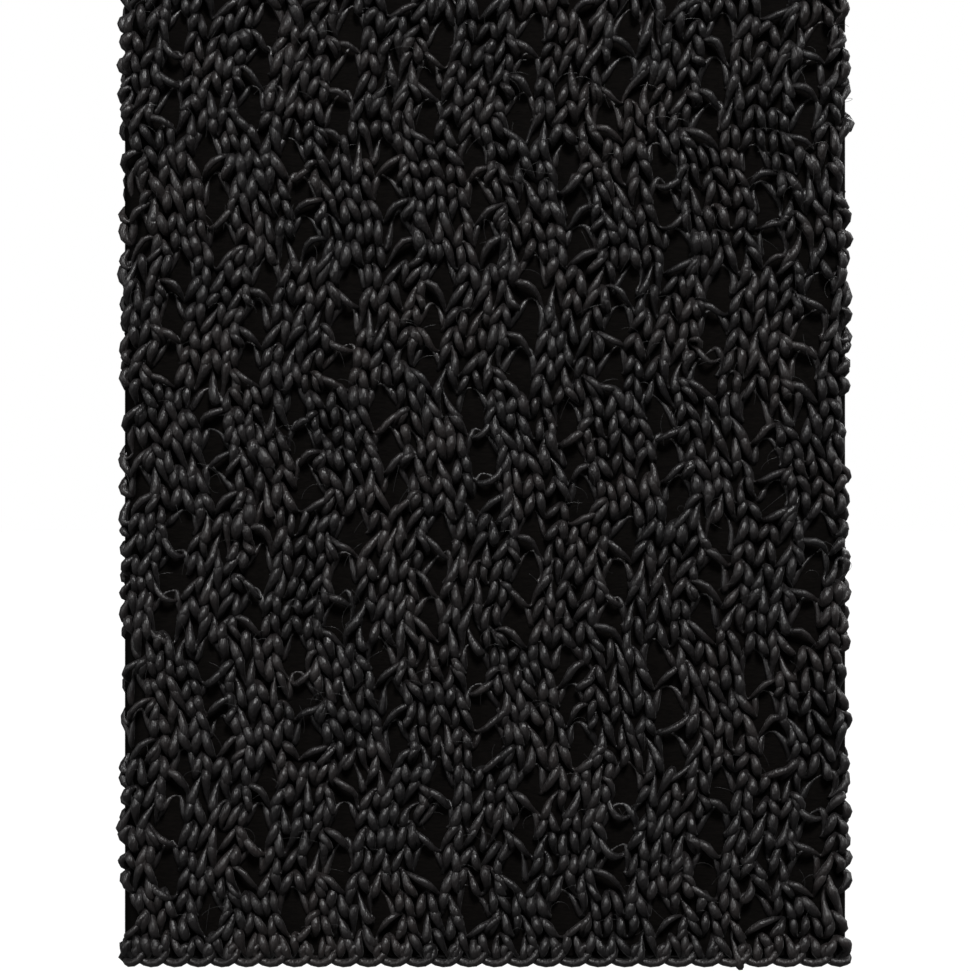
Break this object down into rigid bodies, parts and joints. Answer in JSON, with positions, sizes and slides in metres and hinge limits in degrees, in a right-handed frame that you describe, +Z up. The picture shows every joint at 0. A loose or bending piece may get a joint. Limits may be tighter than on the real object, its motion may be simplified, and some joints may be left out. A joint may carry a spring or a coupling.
{
  "type": "knit necktie",
  "caption": "Square-ended black openwork knit necktie, tied in a four-in-hand knot, with a sliding knot, hanging blade and tail and a keeper loop.",
  "frame": {"origin": "centre of the neck loop, where a collar goes", "axes": "+Z up along the hanging tie, -Y the way the wearer faces, +X the wearer's left"},
  "size_m": [0.127, 0.1553, 0.524],
  "materials": {
    "silk_knit": "soft silk sheen, openwork knit",
    "silk_thread": "twisted silk thread",
    "lining_cloth": "matt plain weave",
    "label_ribbon": "satin ribbon, blank"
  },
  "bodies": {
    "collar_loop": {"neck_panel": "silk_knit", "neck_stay_tape": "lining_cloth", "neck_seam": "silk_thread", "blade_side_joining_seam": "silk_thread", "tail_side_joining_seam": "silk_thread", "blade_side_arm": "silk_knit", "tail_side_arm": "silk_knit", "tail_upper_panel": "silk_knit"},
    "knot": {"knot_outer_wrap": "silk_knit", "knot_fold": "silk_knit", "knot_inner_wrap": "silk_knit"},
    "blade_upper": {"blade_upper_panel": "silk_knit", "blade_upper_lining": "lining_cloth", "blade_upper_seam": "silk_thread"},
    "blade_lower": {"blade_lower_panel": "silk_knit", "blade_lower_lining": "lining_cloth", "blade_lower_seam": "silk_thread", "blade_end_hem": "silk_knit", "blade_bar_tack": "silk_thread", "keeper_loop": "silk_knit", "keeper_tacks": "silk_thread", "maker_label": "label_ribbon", "care_label": "label_ribbon"},
    "tail_lower": {"tail_lower_panel": "silk_knit", "tail_lower_seam": "silk_thread", "tail_end_hem": "silk_knit", "tail_bar_tack": "silk_thread"}
  },
  "joints": [
    {"name": "knot_slide", "type": "slide", "parent": "collar_loop", "child": "knot", "axis": [0, 0, -1], "range_m": [0, 0.045], "deforming": ["blade_side_arm", "tail_side_arm", "tail_upper_panel"]},
    {"name": "blade_swing", "type": "hinge", "parent": "knot", "child": "blade_upper", "pos_m": [0, -0.0855, -0.0574], "axis": [-1, 0, 0], "range_deg": [0, 80]},
    {"name": "blade_fold", "type": "hinge", "parent": "blade_upper", "child": "blade_lower", "pos_m": [0, -0.0855, -0.235], "axis": [-1, 0, 0], "range_deg": [0, 90]},
    {"name": "tail_swing", "type": "hinge", "parent": "collar_loop", "child": "tail_lower", "pos_m": [0, -0.0695, -0.14], "axis": [1, 0, 0], "range_deg": [0, 60]}
  ]
}
